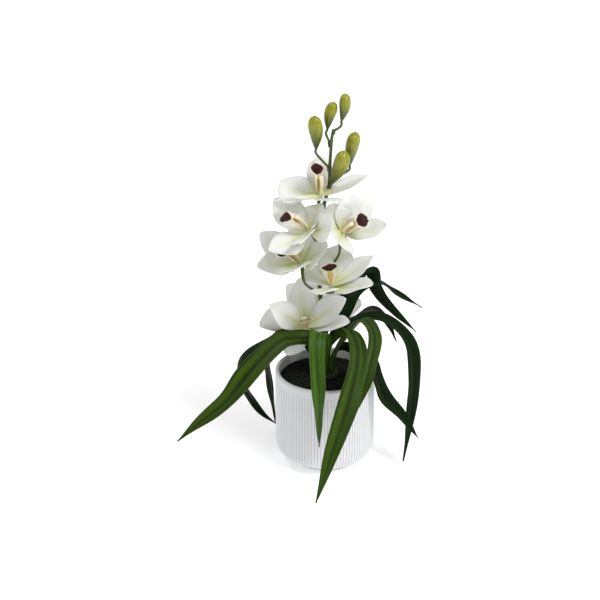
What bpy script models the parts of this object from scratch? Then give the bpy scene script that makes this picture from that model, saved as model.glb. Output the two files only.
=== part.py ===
"""A spray orchid in flower, growing in a fluted ceramic pot.

One shared frame in metres: +Z is up, the origin is the centre of the pot's base, and -Y is the front.
The pot, the growing medium, the crown, every leaf and every bud is a piece of its own. Each open flower
is four pieces: its three sepals, its two petals, its lip and its column. The flower spike and all its
stalks grew as one piece.
"""

import math

import bmesh
import bpy
import numpy as np
from mathutils import Matrix, Vector

MM = 0.001
GAP = 0.3 * MM  # clear space kept between pieces that touch

# Pot
POT_HEIGHT = 122.6 * MM
POT_RADIUS = 62.5 * MM
POT_WALL = 5 * MM
POT_FLOOR = 6 * MM
RIM_ROUND = 1.5 * MM
SHOULDER_HEIGHT = 26 * MM  # where the straight wall starts to turn in towards the foot
STEP_HEIGHT = 7 * MM
STEP_RADIUS = 46 * MM
FOOT_RADIUS = 43 * MM
POT_STEPS = 48

# Growing medium and crown
MEDIUM_BELOW_RIM = 12 * MM
MEDIUM_CROWN = 2 * MM  # how much higher the medium is in the middle
CROWN_RADIUS = 16 * MM
CROWN_HEIGHT = 8 * MM

# Leaves: the number of faces across and along one leaf, and its folds
LEAF_ACROSS = 2
LEAF_ALONG = 18
LEAF_THICK = 0.9 * MM
LEAF_KEEL = math.radians(14)  # how far each half of the blade is raised from flat
LEAF_BASE = 5.5 * MM  # width of every blade at its base
# Each ring of leaf bases: its radius and the height of the upright stretch above the crown
RINGS = {"outer": (13 * MM, 20 * MM), "inner": (8 * MM, 30 * MM)}

# Flowers
TEPAL_ACROSS = 4
TEPAL_ALONG = 6
TEPAL_THICK = 0.9 * MM
SEPAL_WIDTH = 29 * MM
PETAL_WIDTH = 30 * MM
TEPAL_CUP = 0.16
TEPAL_CURL = math.radians(18)  # turn of a tepal's direction from its base to its tip

LIP_LENGTH = 33 * MM
LIP_WIDTH = 15 * MM
LIP_LIFT = math.radians(66)
LIP_CURL = math.radians(-40)
LIP_CUP = 0.5

# Finishes: a colour and a roughness for each kind of piece
FINISHES = {
    "pot": ((0.74, 0.75, 0.76), 0.35),
    "medium": ((0.01, 0.010, 0.006), 0.95),
    "stalk": ((0.06, 0.09, 0.02), 0.45),
    "leaf": ((0.02, 0.06, 0.005), 0.4),
    "tepal": ((0.80, 0.81, 0.76), 0.5),
    "lip": ((0.70, 0.60, 0.48), 0.5),
    "column": ((0.80, 0.76, 0.55), 0.35),
    "bud": ((0.25, 0.28, 0.01), 0.35),
}

# Each leaf: blade width, ring of its base, compass angle of its base, then the points that its midrib
# passes through, in millimetres, each with the roll of the blade in degrees.
LEAVES = {
    "leaf_1": (29, "inner", 230, [(-18, -34, 181, 45), (-41, -43, 185, 20), (-59, -50, 181, 20),
                                  (-92, -68, 153, 32), (-121, -75, 117, 25), (-157, -79, 87, 40),
                                  (-180, -80, 65, 40)]),
    "leaf_2": (22, "outer", 196, [(-38, 20, 159, 42), (-78, 38, 136, 40), (-107, 52, 102, 60),
                                  (-110, 55, 80, 40), (-85, 57, 32, 20), (-60, 57, 8, 0)]),
    "leaf_3": (18, "inner", 166, [(-30, 26, 152, 26), (-54, 44, 150, 20), (-75, 59, 130, 5),
                                  (-73, 62, 90, 20), (-64, 61, 9, 0)]),
    "leaf_4": (21, "outer", 268, [(0, -27, 174, -10), (-10, -57, 199, 15), (-12, -78, 181, 30),
                                  (-10, -86, 131, 36), (-8, -85, 60, 50)]),
    "leaf_5": (28, "inner", 288, [(25, -31, 191, 8), (36, -75, 183, 42), (27, -108, 144, 30),
                                  (5, -141, 85, 5), (-13, -160, 29, 3)]),
    "leaf_6": (21, "outer", 320, [(40, -14, 195, -18), (57, -45, 191, 34), (50, -70, 158, 26),
                                  (41, -80, 133, -4), (20, -93, 83, -10)]),
    "leaf_7": (20, "outer", 355, [(24, -2, 154, -46), (51, -20, 149, -23), (62, -30, 128, -18),
                                  (73, -36, 102, -29), (94, -40, 79, -46), (115, -43, 48, -45)]),
    "leaf_8": (20, "inner", 25, [(30, 4, 184, -37), (69, 6, 190, -1), (103, 0, 161, -21),
                                 (110, -12, 115, -40), (105, -24, 55, -55), (99, -33, 8, -45)]),
    "leaf_9": (14, "inner", 72, [(26, 14, 175, 68), (57, 28, 191, 52), (78, 36, 172, 50),
                                 (101, 42, 136, 68)]),
    "leaf_10": (15, "outer", 90, [(22, 22, 182, -52), (40, 36, 210, -15), (66, 48, 219, 0),
                                  (89, 54, 203, -35), (124, 62, 178, -44)]),
    "leaf_11": (18, "inner", 120, [(8, 32, 178, 105), (54, 54, 231, 60), (65, 64, 203, 57),
                                   (81, 70, 178, 65), (119, 78, 136, 64)]),
}

# Each flower: the centre of its throat in millimetres, the compass direction, rise and roll of its face in
# degrees, then where the tips of its top, left and right sepals and its left and right petals reach.
FLOWERS = {
    "flower_1": ((-9, -12, 354), (59, 84, 160), [(10, -60, 370), (-6, 38, 389), (-56, 22, 363)],
                 [(46, 1, 378), (-60, -45, 365)]),
    "flower_2": ((-21, -40, 323), (-70, 50, -30), [(2, -78, 350), (-63, 13, 343), (-67, -66, 311)],
                 [(-9, -24, 351), (-34, -96, 332)]),
    "flower_3": ((18, -30, 316), (35, 45, 81), [(6, -36, 352), (68, -20, 324), (51, 0, 354)],
                 [(14, -78, 325), (29, -27, 362)]),
    "flower_4": ((-32, -22, 275), (-32, 50, -69), [(-2, -50, 310), (-79, 11, 301), (-80, -40, 282)],
                 [(-32, 0, 324), (-38, -72, 290)]),
    "flower_5": ((6, -35, 250), (-40, 78, 46), [(15, 12, 285), (-9, -86, 267), (50, -69, 272)],
                 [(-27, -10, 264), (53, -28, 288)]),
    "flower_6": ((-24, -14, 187), (-10, 50, 20), [(-32, 6, 242), (-50, -26, 158), (26, -34, 206)],
                 [(-66, -30, 222), (20, -22, 230)]),
    "flower_7": ((-18, 48, 178), (180, 8, 0), [(-4, 62, 230), (-8, 62, 129), (-82, 60, 157)],
                 [(45, 60, 187), (-46, 75, 204)]),
}

# Each flower's stalk: a point that it passes through and the height at which it leaves the main stem
STALKS = {
    "flower_1": ((-9, -10, 342), 332), "flower_2": ((-14, -27, 306), 290), "flower_3": ((14, -12, 296), 298),
    "flower_4": ((-26, -31, 253), 221), "flower_5": ((-1, -21, 236), 222), "flower_6": ((-21, -6, 176), 166),
    "flower_7": ((-14, 30, 176), 178),
}

# Main stem, root to tip, in millimetres with its radius
STEM = [(0, 0, 121, 3.2), (-3, 3, 172, 3.0), (-8, 8, 240, 2.8), (-7, 9, 290, 2.6), (-3, 2, 340, 2.4),
        (2.5, 1.5, 362, 2.2), (3.5, 1, 395, 2.0), (5, 1, 420, 1.8), (7, 1, 432, 1.6)]

# Each bud: the height at which its stalk leaves the stem, its base, its tip and its width, all in millimetres
BUDS = {
    "bud_1": (384, (-13, -2, 409), (-16, -6, 450), 15), "bud_2": (413, (0, 4, 431), (8, 6, 463), 13.5),
    "bud_3": (429, (16, 0, 442), (20, 2, 474), 13), "bud_4": (364, (27, 1, 389), (33, 0, 429), 15),
    "bud_5": (362, (5, -11, 370), (20, -18, 412), 18),
}


# ---------------------------------------------------------------- helpers


def clear_scene():
    for thing in list(bpy.data.objects):
        bpy.data.objects.remove(thing, do_unlink=True)


def new_collection(name):
    collection = bpy.data.collections.new(name)
    bpy.context.scene.collection.children.link(collection)
    return collection


def material(name, colour, roughness):
    made = bpy.data.materials.new(name)
    made.use_nodes = True
    shader = made.node_tree.nodes["Principled BSDF"]
    shader.inputs["Base Color"].default_value = (*colour, 1.0)
    shader.inputs["Roughness"].default_value = roughness
    shader.inputs["Metallic"].default_value = 0.0
    return made


def finished(name, mesh, kind):
    """One piece's object, with its own material, smooth where its faces meet at under 40 degrees."""
    mesh.shade_smooth()
    mesh.set_sharp_from_angle(angle=math.radians(40))
    piece = bpy.data.objects.new(name, mesh)
    piece.data.materials.append(material(name, *FINISHES[kind]))
    orchid.objects.link(piece)
    return piece


def mesh_from(bm, name):
    mesh = bpy.data.meshes.new(name)
    bm.to_mesh(mesh)
    bm.free()
    return mesh


def smooth_point(points, share):
    """The point this share of the way through the points, on a Catmull-Rom curve."""
    points = np.asarray(points, float)
    ends = np.vstack([2 * points[0] - points[1], points, 2 * points[-1] - points[-2]])
    place = min(share * (len(points) - 1), len(points) - 1 - 1e-9)
    first = int(place)
    t = place - first
    a, b, c, d = ends[first:first + 4]
    return 0.5 * (2 * b + (c - a) * t + (2 * a - 5 * b + 4 * c - d) * t**2 + (3 * b - a - 3 * c + d) * t**3)


def even_points(points, count):
    """Points spaced evenly along the smooth curve through the given ones."""
    fine = np.array([smooth_point(points, i / 400) for i in range(401)])
    steps = np.linalg.norm(np.diff(fine[:, :3], axis=0), axis=1)
    travelled = np.concatenate([[0], np.cumsum(steps)])
    wanted = np.linspace(0, travelled[-1], count)
    return np.array([[np.interp(w, travelled, fine[:, k]) for k in range(fine.shape[1])] for w in wanted])


def tube(points, radii, sides=2):
    """A closed round tube along the points, as a mesh. A bevel resolution of 2 gives 8 sides."""
    curve = bpy.data.curves.new("tube", "CURVE")
    curve.dimensions = "3D"
    curve.bevel_depth = 1.0
    curve.bevel_resolution = sides
    curve.use_fill_caps = True
    line = curve.splines.new("POLY")
    line.points.add(len(points) - 1)
    for point, place, radius in zip(line.points, points, radii):
        point.co = (*place, 1)
        point.radius = radius
    holder = bpy.data.objects.new("tube", curve)
    orchid.objects.link(holder)
    graph = bpy.context.evaluated_depsgraph_get()
    mesh = bpy.data.meshes.new_from_object(holder.evaluated_get(graph))
    bpy.data.objects.remove(holder)
    bm = bmesh.new()
    bm.from_mesh(mesh)
    bmesh.ops.remove_doubles(bm, verts=bm.verts, dist=0.00001)
    bmesh.ops.recalc_face_normals(bm, faces=bm.faces)
    bm.to_mesh(mesh)
    bm.free()
    return mesh


def joined(piece, meshes):
    """Unites the closed meshes with the piece, one Boolean for each, and applies them."""
    for mesh in meshes:
        other = bpy.data.objects.new("joining", mesh)
        cutters.objects.link(other)
        other.hide_render = True
        other.display_type = "WIRE"
        union = piece.modifiers.new("union", "BOOLEAN")
        union.operation = "UNION"
        union.object = other
    graph = bpy.context.evaluated_depsgraph_get()
    whole = bpy.data.meshes.new_from_object(piece.evaluated_get(graph))
    for modifier in list(piece.modifiers):
        other = modifier.object
        piece.modifiers.remove(modifier)
        bpy.data.objects.remove(other)
    piece.data = whole


# ---------------------------------------------------------------- pot, growing medium and crown


def turned(name, profile, steps, kind):
    """A closed solid of revolution. The profile runs down its outer side first."""
    bm = bmesh.new()
    verts = [bm.verts.new((x, 0, z)) for x, z in profile]
    for first, second in zip(verts, verts[1:]):
        bm.edges.new((first, second))
    piece = finished(name, mesh_from(bm, name), kind)
    screw = piece.modifiers.new("turn", "SCREW")
    screw.axis = "Z"
    screw.angle = math.tau
    screw.steps = steps
    screw.render_steps = steps
    screw.use_merge_vertices = True
    screw.merge_threshold = 0.00001
    screw.use_smooth_shade = True
    return piece


def arc(centre_x, centre_z, radius, start, end, count):
    """Points on a circular arc, with its angles in degrees from +X."""
    angles = [math.radians(start + (end - start) * i / count) for i in range(count + 1)]
    return [(centre_x + radius * math.cos(a), centre_z + radius * math.sin(a)) for a in angles]


def make_pot():
    inner = POT_RADIUS - POT_WALL
    turn_in = POT_RADIUS - STEP_RADIUS
    turn_up = SHOULDER_HEIGHT - STEP_HEIGHT
    profile = [(inner, POT_HEIGHT - RIM_ROUND)]
    profile += arc(POT_RADIUS - RIM_ROUND, POT_HEIGHT - RIM_ROUND, RIM_ROUND, 90, 0, 3)
    profile += [(POT_RADIUS, SHOULDER_HEIGHT)]
    for i in range(1, 6):
        angle = math.radians(90 * i / 5)
        profile.append((POT_RADIUS - turn_in * (1 - math.cos(angle)),
                        SHOULDER_HEIGHT - turn_up * math.sin(angle)))
    profile += [(FOOT_RADIUS, STEP_HEIGHT), (FOOT_RADIUS, 0), (0, 0)]
    mouth = arc(inner + RIM_ROUND, POT_HEIGHT - RIM_ROUND, RIM_ROUND, 180, 90, 3)
    inside = [(0, POT_FLOOR), (FOOT_RADIUS - POT_WALL, POT_FLOOR), (inner, SHOULDER_HEIGHT)]
    return turned("pot", mouth + profile[2:] + inside + mouth[:1], POT_STEPS, "pot")


def medium_top(radius):
    """Height of the growing medium's surface at this distance from the pot's axis."""
    edge = POT_RADIUS - POT_WALL - GAP
    return POT_HEIGHT - MEDIUM_BELOW_RIM + MEDIUM_CROWN * (1 - (radius / edge) ** 2)


def make_medium():
    edge = POT_RADIUS - POT_WALL - GAP
    rings = [edge * i / 6 for i in range(7)]
    top = [(r, medium_top(r)) for r in rings]
    lower = [(edge, SHOULDER_HEIGHT + GAP), (FOOT_RADIUS - POT_WALL - GAP, POT_FLOOR + GAP),
             (0, POT_FLOOR + GAP)]
    return turned("growing_medium", top + lower, POT_STEPS, "medium")


def crown_top():
    return medium_top(0) + GAP + CROWN_HEIGHT


def make_crown():
    """The short woody base that the leaves and the flower spike grow from, flat on top."""
    bottom = medium_top(0) + GAP
    swell = [(CROWN_RADIUS * (0.86 + 0.14 * math.sin(math.pi * i / 4)), crown_top() - CROWN_HEIGHT * i / 4)
             for i in range(5)]
    return turned("crown", [(0, crown_top())] + swell + [(0, bottom)], 24, "stalk")


# ---------------------------------------------------------------- leaves


def leaf_width(width, share):
    """Width of a blade: narrow at its base, widest at the middle and pointed at its tip."""
    rise = min(max(share - 0.1, 0.0) / 0.35, 1.0)
    swelling = LEAF_BASE + (width - LEAF_BASE) * rise * rise * (3 - 2 * rise)
    falling = 1 - max((share - 0.55) / 0.45, 0.0) ** 1.6
    return max(swelling * falling, 0.08 * width)


def leaf_line(width, ring, compass, points):
    """The midrib from the crown to the tip, evenly spaced: places in metres and the roll in radians.

    At its base the blade is rolled to lie along its ring.
    """
    radius, sheath = RINGS[ring]
    out = np.array([math.cos(math.radians(compass)), math.sin(math.radians(compass)), 0.0])
    foot = out * radius + (0, 0, crown_top() + 3 * GAP)
    neck = out * radius + (0, 0, crown_top() + sheath)
    tip = np.array(points[-1][:2]) * MM - foot[:2]
    along_ring = math.atan2(tip[1], tip[0]) - math.radians(compass)
    first_roll = math.radians(points[0][3])
    round_ring = along_ring + math.pi * round((first_roll - along_ring) / math.pi)
    line = [(*foot, round_ring), (*neck, round_ring)]
    line += [(x * MM, y * MM, z * MM, math.radians(turn)) for x, y, z, turn in points]
    return even_points(line, LEAF_ALONG + 1)


def make_leaf(name, width, ring, compass, points):
    """A keeled strap: a flat grid laid along the midrib, then given its thickness."""
    line = leaf_line(width, ring, compass, points)
    flow = np.gradient(line[:, :3], axis=0)
    flow /= np.linalg.norm(flow, axis=1)[:, None]
    reach = line[-1, :3] - line[0, :3]
    level = np.cross((0, 0, 1), reach)
    level /= np.linalg.norm(level)
    bm = bmesh.new()
    bmesh.ops.create_grid(bm, x_segments=LEAF_ACROSS, y_segments=LEAF_ALONG, size=0.5)
    for vert in bm.verts:
        step = round((vert.co.y + 0.5) * LEAF_ALONG)
        side = level - flow[step] * (level @ flow[step])
        side /= np.linalg.norm(side)
        down = np.cross(side, flow[step])
        turn = line[step, 3]
        side, down = (side * math.cos(turn) + down * math.sin(turn),
                      down * math.cos(turn) - side * math.sin(turn))
        across = vert.co.x * leaf_width(width * MM, step / LEAF_ALONG)
        place = line[step, :3] + side * across * math.cos(LEAF_KEEL) - down * abs(across) * math.sin(LEAF_KEEL)
        vert.co = Vector(place)
    bmesh.ops.recalc_face_normals(bm, faces=bm.faces)
    piece = finished(name, mesh_from(bm, name), "leaf")
    wall = piece.modifiers.new("thickness", "SOLIDIFY")
    wall.thickness = LEAF_THICK
    wall.offset = 0
    return piece


# ---------------------------------------------------------------- flowers


def flower_frame(centre, compass, rise, roll):
    """The flower's own frame: +Z out of its face, +Y along its top sepal."""
    turn, lift, spin = (math.radians(a) for a in (compass, rise, roll))
    face = Vector((math.sin(turn) * math.cos(lift), -math.cos(turn) * math.cos(lift), math.sin(lift)))
    up = (Vector((0, 0, 1)) - face * face.z).normalized()
    top = up * math.cos(spin) + face.cross(up) * math.sin(spin)
    right = top.cross(face)
    frame = Matrix((right, top, face)).transposed().to_4x4()
    frame.translation = Vector(centre) * MM
    return frame


def tepal_width(share):
    """Width of a sepal or petal along its length, as a share of its full width."""
    return 0.16 * (1 - share) + 0.08 * share + 0.88 * max(math.sin(math.pi * share**1.35), 0)


def sheet(length, width, angle, lift, curl, start, cup, width_at):
    """An open curved sheet that grows outwards from the flower's axis, raised by its lift.

    start is where its base sits: how far out from the axis, and how far along it.
    """
    bm = bmesh.new()
    bmesh.ops.create_grid(bm, x_segments=TEPAL_ACROSS, y_segments=TEPAL_ALONG, size=0.5)
    outward = Vector((math.cos(angle), math.sin(angle), 0))
    side = Vector((-math.sin(angle), math.cos(angle), 0))
    face = Vector((0, 0, 1))
    first = lift - curl / 2
    for vert in bm.verts:
        share = vert.co.y + 0.5
        half = width * width_at(share) / 2
        across = vert.co.x * 2
        here = first + curl * share
        out = start[0] + length / curl * (math.sin(here) - math.sin(first))
        rise = start[1] + length / curl * (math.cos(first) - math.cos(here))
        normal = face * math.cos(here) - outward * math.sin(here)
        vert.co = outward * out + face * rise + side * across * half + normal * cup * half * across**2
    return bm


def thick(bm, name, frame):
    """The sheet as a closed mesh in the plant's frame."""
    bmesh.ops.recalc_face_normals(bm, faces=bm.faces)
    bmesh.ops.transform(bm, matrix=frame, verts=bm.verts)
    holder = bpy.data.objects.new(name, mesh_from(bm, name))
    orchid.objects.link(holder)
    wall = holder.modifiers.new("thickness", "SOLIDIFY")
    wall.thickness = TEPAL_THICK
    wall.offset = 0
    graph = bpy.context.evaluated_depsgraph_get()
    closed = bpy.data.meshes.new_from_object(holder.evaluated_get(graph))
    bpy.data.objects.remove(holder)
    return closed


def hub(name, radius, low, high, frame, kind):
    """The short drum that a ring of sepals or petals grows from."""
    bm = bmesh.new()
    middle = Matrix.Translation((0, 0, (low + high) / 2))
    bmesh.ops.create_cone(bm, cap_ends=True, segments=12, radius1=radius, radius2=radius,
                          depth=high - low, matrix=frame @ middle)
    return finished(name, mesh_from(bm, name), kind)


def grown_sheet(name, frame, tip, start, width):
    """One sepal or petal, from its base on the hub out to its tip."""
    local = frame.inverted() @ (Vector(tip) * MM)
    out = math.hypot(local.x, local.y) - start[0]
    rise = local.z - start[1]
    arc_length = math.hypot(out, rise) * (TEPAL_CURL / 2) / math.sin(TEPAL_CURL / 2)
    angle = math.atan2(local.y, local.x)
    return thick(sheet(arc_length, width, angle, math.atan2(rise, out), TEPAL_CURL, start, TEPAL_CUP,
                       tepal_width), name, frame)


def make_flower(name, centre, facing, sepal_tips, petal_tips):
    frame = flower_frame(centre, *facing)
    sepals = hub(name + "_sepals", 4 * MM, -2 * MM, 0, frame, "tepal")
    joined(sepals, [grown_sheet("sepal", frame, tip, (3 * MM, -1 * MM), SEPAL_WIDTH) for tip in sepal_tips])
    petals = hub(name + "_petals", 3 * MM, 0.3 * MM, 2.4 * MM, frame, "tepal")
    joined(petals, [grown_sheet("petal", frame, tip, (2 * MM, 1.7 * MM), PETAL_WIDTH) for tip in petal_tips])
    lip = sheet(LIP_LENGTH, LIP_WIDTH, math.radians(270), LIP_LIFT, LIP_CURL, (3.2 * MM, 3.6 * MM), LIP_CUP,
                lip_width)
    finished(name + "_lip", thick(lip, "lip", frame), "lip")
    line = [frame @ Vector((0, y * MM, z * MM)) for y, z in ((0.8, 3.1), (2, 10), (1.6, 18), (-1, 26))]
    finished(name + "_column", tube(line, [1.7 * MM, 2.0 * MM, 2.4 * MM, 3.0 * MM]), "column")
    return frame


def lip_width(share):
    """The lip is narrow at its base, broad at its side lobes and blunt at its tip."""
    return 0.35 + 0.65 * math.sin(math.pi * min(share * 1.25, 1.25) * 0.55)


# ---------------------------------------------------------------- flower spike and buds


def stem_point(height):
    """The place on the main stem's line at this height, in millimetres."""
    line = even_points(STEM, 60)
    return [float(np.interp(height, line[:, 2], line[:, k])) for k in range(3)]


def make_spike(frames):
    line = even_points(STEM, 22)
    line[0, 2] = (crown_top() + GAP) / MM
    spike = finished("flower_spike", tube(line[:, :3] * MM, line[:, 3] * MM), "stalk")
    stalks = []
    for name, frame in frames.items():
        back = frame @ Vector((0, 0, -2 * MM - 4 * GAP))
        behind = frame @ Vector((0, 0, -8 * MM))
        passing, height = STALKS[name]
        join = Vector(stem_point(height)) * MM
        course = even_points([join, Vector(passing) * MM, behind, back], 10)
        stalks.append(tube(course, [1.5 * MM] * 7 + [1.7 * MM, 2.0 * MM, 2.2 * MM]))
    for height, base, tip, _ in BUDS.values():
        away = (Vector(tip) - Vector(base)).normalized()
        end = Vector(base) - away * 0.3
        before = end - away * 6
        course = even_points([Vector(stem_point(height)) * MM, before * MM, end * MM], 5)
        stalks.append(tube(course, [1.3 * MM] * 5))
    joined(spike, stalks)
    return spike


def make_bud(name, base, tip, width):
    """A closed bud: an egg drawn out along its axis, fattest past its middle."""
    base, tip = Vector(base), Vector(tip)
    axis = tip - base
    bm = bmesh.new()
    bmesh.ops.create_uvsphere(bm, u_segments=10, v_segments=8, radius=0.5)
    for vert in bm.verts:
        share = vert.co.z + 0.5
        fat = 0.72 + 0.5 * share
        vert.co.x *= fat
        vert.co.y *= fat
    size = Matrix.Diagonal((width * MM, width * MM * 0.86, axis.length * MM, 1))
    turn = axis.to_track_quat("Z", "Y").to_matrix().to_4x4()
    place = Matrix.Translation((base + tip) / 2 * MM)
    bmesh.ops.transform(bm, matrix=place @ turn @ size, verts=bm.verts)
    return finished(name, mesh_from(bm, name), "bud")


# ---------------------------------------------------------------- the plant

clear_scene()
orchid = new_collection("orchid")
cutters = new_collection("cutters")
make_pot()
make_medium()
make_crown()
for leaf_name, leaf in LEAVES.items():
    make_leaf(leaf_name, *leaf)
flower_frames = {}
for flower_name, flower in FLOWERS.items():
    flower_frames[flower_name] = make_flower(flower_name, *flower)
make_spike(flower_frames)
for bud_name, (_, bud_base, bud_tip, bud_width) in BUDS.items():
    make_bud(bud_name, bud_base, bud_tip, bud_width)
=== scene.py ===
# %% [markdown]
# # A spray orchid in a fluted pot
#
# This lesson builds the visible plant around solids that already exist. The solids fix where every piece
# sits and how large it is; here each one gets its true surface: fluted glaze, folded leaves, soft petals,
# blotched lips and waxy buds. Everything is in metres, +Z is up and -Y is the front.

# %% Load the fixed frame
import math
import random

import bmesh
import bpy
import numpy as np
from mathutils import Matrix, Vector


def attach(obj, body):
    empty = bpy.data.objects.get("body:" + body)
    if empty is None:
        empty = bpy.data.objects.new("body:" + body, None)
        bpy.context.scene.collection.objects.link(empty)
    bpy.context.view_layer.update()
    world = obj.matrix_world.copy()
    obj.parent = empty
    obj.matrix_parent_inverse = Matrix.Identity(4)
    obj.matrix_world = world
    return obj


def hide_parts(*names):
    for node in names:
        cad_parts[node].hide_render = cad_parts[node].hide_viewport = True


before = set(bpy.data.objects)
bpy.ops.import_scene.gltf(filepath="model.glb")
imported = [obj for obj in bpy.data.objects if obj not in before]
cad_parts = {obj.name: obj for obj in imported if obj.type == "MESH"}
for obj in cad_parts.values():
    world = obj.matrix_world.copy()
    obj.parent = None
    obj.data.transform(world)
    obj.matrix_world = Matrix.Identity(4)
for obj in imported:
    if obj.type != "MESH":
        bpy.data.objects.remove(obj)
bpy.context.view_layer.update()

MM = 0.001
print("solids loaded:", len(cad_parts), "nodes")

# %% [markdown]
# ## The camera
#
# A long lens from well back keeps the pot's sides nearly upright, and its height lets it look into the
# pot's mouth. A short lens close by would splay the pot like a bucket.

# %% Camera
LENS = 78.4
CAMERA_PLACE = (-0.0316, -1.4507, 0.8746)
LOOK_DOWN = 24.4

camera_data = bpy.data.cameras.new("camera")
camera_data.sensor_width = 36
camera_data.lens = LENS
camera = bpy.data.objects.new("camera", camera_data)
camera.location = CAMERA_PLACE
camera.rotation_euler = (math.radians(90 - LOOK_DOWN), 0, 0)
bpy.context.scene.collection.objects.link(camera)
bpy.context.scene.camera = camera
print("camera:", round(Vector(CAMERA_PLACE).length, 2), "m from the pot's base")

# %% [markdown]
# ## The light
#
# White petals on a white ground keep their shape only if the light comes from one side. The room is an
# even pale grey, a broad lamp stands high at the front right, and a weaker one at the back left lights the
# petals' far edges. The Standard view transform leaves whites white, where the default one greys them.

# %% Room and lamps
ROOM_LIGHT = 0.52
LAMP_WIDTH = 1.5
LAMP_AIM = Vector((0, 0, 0.22))

world = bpy.data.worlds.new("white_room")
world.use_nodes = True
world.node_tree.nodes["Background"].inputs["Color"].default_value = (1, 1, 1, 1)
world.node_tree.nodes["Background"].inputs["Strength"].default_value = ROOM_LIGHT
bpy.context.scene.world = world
bpy.context.scene.view_settings.view_transform = "Standard"


def soft_lamp(name, power, place):
    """A square area lamp at a place, turned towards the middle of the plant."""
    lamp_data = bpy.data.lights.new(name, "AREA")
    lamp_data.energy = power
    lamp_data.size = LAMP_WIDTH
    lamp = bpy.data.objects.new(name, lamp_data)
    lamp.location = place
    lamp.rotation_euler = (Vector(place) - LAMP_AIM).to_track_quat("Z", "Y").to_euler()
    bpy.context.scene.collection.objects.link(lamp)
    print(name, "lamp:", power, "W")


soft_lamp("key", 138, (2.1, -2.2, 3.9))
soft_lamp("rim", 45, (-2.4, 1.2, 4.2))

# %% [markdown]
# ## Shader maths as plain expressions
#
# A material is a graph of nodes. Written out node by node it is hard to read, so one small class wraps a
# socket and lets ordinary + - * / make the Math nodes. The forms that start with r are there so that a
# number may stand first, as in 1 - mask.

# %% Wire


class Wire:
    """An output socket that can be used in sums like a number."""

    def __init__(self, finish, socket):
        self.finish = finish
        self.socket = socket

    def maths(self, operation, *values):
        return self.finish.add("Math", {"operation": operation}, dict(enumerate(values)))

    def __add__(self, other):
        return self.maths("ADD", self, other)

    def __radd__(self, other):
        return self.maths("ADD", other, self)

    def __sub__(self, other):
        return self.maths("SUBTRACT", self, other)

    def __rsub__(self, other):
        return self.maths("SUBTRACT", other, self)

    def __mul__(self, other):
        return self.maths("MULTIPLY", self, other)

    def __rmul__(self, other):
        return self.maths("MULTIPLY", other, self)

    def __truediv__(self, other):
        return self.maths("DIVIDE", self, other)

    def __pow__(self, other):
        return self.maths("POWER", self, other)

    def size(self):
        """How far this value is from 0, whichever side it is on."""
        return self.maths("ABSOLUTE", self)

    def capped(self):
        """This value, but never over 1."""
        return self.maths("MINIMUM", self, 1)

    def between(self, low, high):
        """0 below low and 1 above high, with a smooth rise; low may be the larger of the two."""
        if low > high:
            return 1 - self.between(high, low)
        return self.finish.add("MapRange", {"interpolation_type": "SMOOTHSTEP"},
                               {"Value": self, "From Min": low, "From Max": high})


print("sums on sockets:", Wire.__name__)

# %% [markdown]
# ## A material to add nodes to
#
# The second class holds a material and adds any other kind of node. Values that are the same all over go
# straight on the shader's own sockets. Only what changes over the surface arrives through a link, because
# those few sockets are the ones that can be baked when the plant is exported.

# %% Finish


class Finish:
    """A material with one Principled shader, and the means to add nodes to it."""

    def __init__(self, name, **constants):
        self.material = bpy.data.materials.new(name)
        self.material.use_nodes = True
        self.tree = self.material.node_tree
        self.shader = self.tree.nodes["Principled BSDF"]
        for socket, value in constants.items():
            self.shader.inputs[socket.replace("_", " ")].default_value = value

    def put(self, socket, value):
        """Sets a socket to a constant, or links a wire to it."""
        if isinstance(value, Wire):
            self.tree.links.new(value.socket, socket)
        elif isinstance(value, tuple) and len(value) == 3 and socket.type == "RGBA":
            socket.default_value = (*value, 1)
        else:
            socket.default_value = value

    def add(self, kind, settings=None, sockets=None, output=0):
        """Adds a node of this kind and returns a wire from one of its outputs."""
        node = self.tree.nodes.new("ShaderNode" + kind)
        for setting, value in (settings or {}).items():
            setattr(node, setting, value)
        for socket, value in (sockets or {}).items():
            self.put(node.inputs[socket], value)
        return Wire(self, node.outputs[output])

    def mix(self, factor, first, second):
        """A colour that goes from the first to the second as the factor goes from 0 to 1."""
        return self.add("Mix", {"data_type": "RGBA"}, {0: factor, 6: first, 7: second}, output=2)

    def across_and_along(self):
        """How far across and along a blade this point is, each from 0 to 1, as two wires."""
        apart = self.add("SeparateXYZ", {}, {0: self.add("UVMap", {"uv_map": "blade"})})
        return apart, Wire(self, apart.socket.node.outputs[1])

    def place(self, scale=(1, 1, 1)):
        """The point's own place, stretched."""
        where = self.add("TexCoord", output="Object")
        return self.add("Mapping", {}, {"Vector": where, "Scale": scale})

    def noise(self, where, scale, detail=3.0, roughness=0.55):
        """Cloudy noise that goes through this many changes in each unit of the place given."""
        sockets = {"Vector": where, "Scale": scale, "Detail": detail, "Roughness": roughness}
        return self.add("TexNoise", {}, sockets)

    def wear(self, colour=None, roughness=None, height=None, strength=0.5, depth=0.5 * MM):
        """Connects what changes over the surface to the shader."""
        if colour is not None:
            self.put(self.shader.inputs["Base Color"], colour)
        if roughness is not None:
            self.put(self.shader.inputs["Roughness"], roughness)
        if height is not None:
            bump = self.add("Bump", {}, {"Height": height, "Strength": strength, "Distance": depth})
            self.put(self.shader.inputs["Normal"], bump)
        return self.material


print("materials:", Finish.__name__)

# %% [markdown]
# ## The floor
#
# A plain pale sheet lies under everything, so wide that its far edge fades into the room. It glows faintly,
# because light alone leaves it greyer than paper. It isn't part of the plant.

# %% Floor
FLOOR_REACH = 60
FLOOR_GLOW = 0.28

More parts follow.
